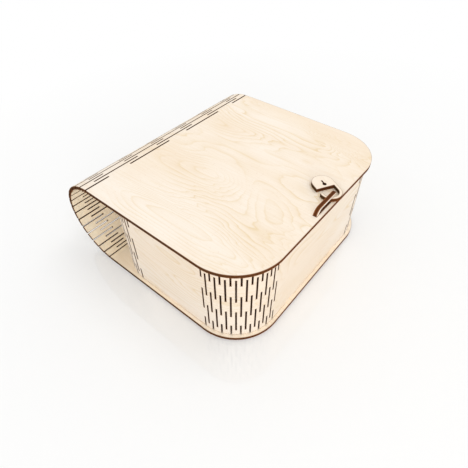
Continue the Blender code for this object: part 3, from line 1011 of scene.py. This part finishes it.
table_turns = [math.tau * n / TABLE_STEPS for n in range(TABLE_STEPS)]
table_points = [(TABLE_RADIUS * math.cos(turn), TABLE_RADIUS * math.sin(turn), 0) for turn in table_turns]
table_mesh = bpy.data.meshes.new("studio_table")
table_mesh.from_pydata(table_points, [], [tuple(range(TABLE_STEPS))])
table = put_in_scene("studio_table", table_mesh)
table.location = TABLE_PLACE
white, tree, gloss = start_material("white studio table")
gloss.inputs["Base Color"].default_value = linear("#F2F2F1")
gloss.inputs["Roughness"].default_value = 0.0
gloss.inputs["Specular IOR Level"].default_value = 1.0
glow = add(tree, "Emission", {"Color": linear("#FFFFFF"), "Strength": 1.0}).outputs[0]
to_camera = add(tree, "LightPath", {}).outputs["Is Camera Ray"]
place = add(tree, "TexCoord", {}).outputs["Object"]
distance = add(tree, "VectorMath", {0: place}, operation="LENGTH").outputs["Value"]
fading = {"Value": distance, "From Min": NEAR, "From Max": FAR, "To Min": NEAR_SHARE, "To Max": 1.0}
faded = add(tree, "MapRange", fading).outputs[0]
here = add(tree, "NewGeometry", {}).outputs["Position"]
moved = add(tree, "VectorMath", {0: here, 1: SHADED_PLACE}, operation="SUBTRACT").outputs[0]
oval = (1 / SHADED_ACROSS, 1 / SHADED_ALONG, 0)
scaled = add(tree, "VectorMath", {0: moved, 1: oval}, operation="MULTIPLY").outputs[0]
out = add(tree, "VectorMath", {0: scaled}, operation="LENGTH").outputs["Value"]
clear = add(tree, "MapRange", {"Value": out, "From Min": SHADED_CORE, "From Max": 1.0}).outputs[0]
shown = add(tree, "Math", {0: faded, 1: clear}, operation="MULTIPLY").outputs[0]
share = add(tree, "Math", {0: to_camera, 1: shown}, operation="MULTIPLY").outputs[0]
mixed = add(tree, "MixShader", {0: share, 1: gloss.outputs[0], 2: glow}).outputs[0]
tree.links.new(mixed, tree.nodes["Material Output"].inputs["Surface"])
table_mesh.materials.append(white)
print("table:", TABLE_RADIUS * 2, "m across")

# %% [markdown]
# ## The light
#
# An even white sky gives most of the light, as in a light tent. The camera sees it as pure white, and
# the table mirrors it a touch dimmer. A large softbox hangs nearly overhead, a little to the right,
# and makes the top the brightest face. A low fill at the front left lifts the two walls that the
# camera sees. Neither lamp shows in a glossy surface.

# %% Light
SKY = 0.93
MIRRORED_SKY = 0.92

world = bpy.data.worlds.new("light tent")
bpy.context.scene.world = world
world.use_nodes = True
tree = world.node_tree
ray = add(tree, "LightPath", {})
glossy = {0: ray.outputs["Is Glossy Ray"], 1: MIRRORED_SKY - SKY, 2: SKY}
mirrored = add(tree, "Math", glossy, operation="MULTIPLY_ADD").outputs[0]
direct = {0: ray.outputs["Is Camera Ray"], 1: 1 - SKY, 2: mirrored}
level = add(tree, "Math", direct, operation="MULTIPLY_ADD").outputs[0]
sky = tree.nodes["Background"]
sky.inputs["Color"].default_value = linear("#FFFFFF")
tree.links.new(level, sky.inputs["Strength"])

centre = Vector((0, 0, height / 2))


def soft_lamp(name, place, size, power):
    """A round lamp that faces the middle of the box."""
    lamp = bpy.data.lights.new(name, "AREA")
    lamp.shape = "DISK"
    lamp.size = size
    lamp.energy = power
    held = put_in_scene(name, lamp)
    held.location = place
    held.rotation_euler = (centre - Vector(place)).to_track_quat("-Z", "Y").to_euler()
    held.visible_glossy = False
    print(f"{name}: {size} m across, {power} W")


soft_lamp("large softbox", (0.6, -0.3, 1.7), 0.9, 5.1)
soft_lamp("low fill", (-0.80, -0.96, 0.18), 0.6, 5.0)

# %% [markdown]
# ## The camera
#
# The camera stands where the photograph's stood: low over the left fore corner, close to the box, so
# that its lines run together strongly. The three angles and the place were worked out from the box's
# own edges and rows of slots. Its back, right and up directions make the camera's matrix.

# %% Camera
EYE = (-0.2020, -0.1719, 0.2673)
AZIMUTH, ELEVATION, ROLL = (math.radians(angle) for angle in (-50.5988, 46.2581, -0.2992))
FOCAL_PIXELS, FRAME_PIXELS = 378.7869, 468
SENSOR_WIDTH = 36.0

camera_data = bpy.data.cameras.new("camera")
camera_data.sensor_width = SENSOR_WIDTH
camera_data.lens = SENSOR_WIDTH * FOCAL_PIXELS / FRAME_PIXELS
camera_data.clip_start = 0.01
level_part = math.cos(ELEVATION)
backward = Vector((math.sin(AZIMUTH) * level_part, -math.cos(AZIMUTH) * level_part, math.sin(ELEVATION)))
level_right = Vector((math.cos(AZIMUTH), math.sin(AZIMUTH), 0))
level_up = backward.cross(level_right)
right = math.cos(ROLL) * level_right + math.sin(ROLL) * level_up
up = math.cos(ROLL) * level_up - math.sin(ROLL) * level_right
camera = put_in_scene("camera", camera_data)
camera.matrix_world = Matrix.Translation(EYE) @ Matrix((right, up, backward)).transposed().to_4x4()
bpy.context.scene.camera = camera
bpy.context.scene.view_settings.view_transform = "Standard"
print(f"lens {camera_data.lens:.2f} mm")
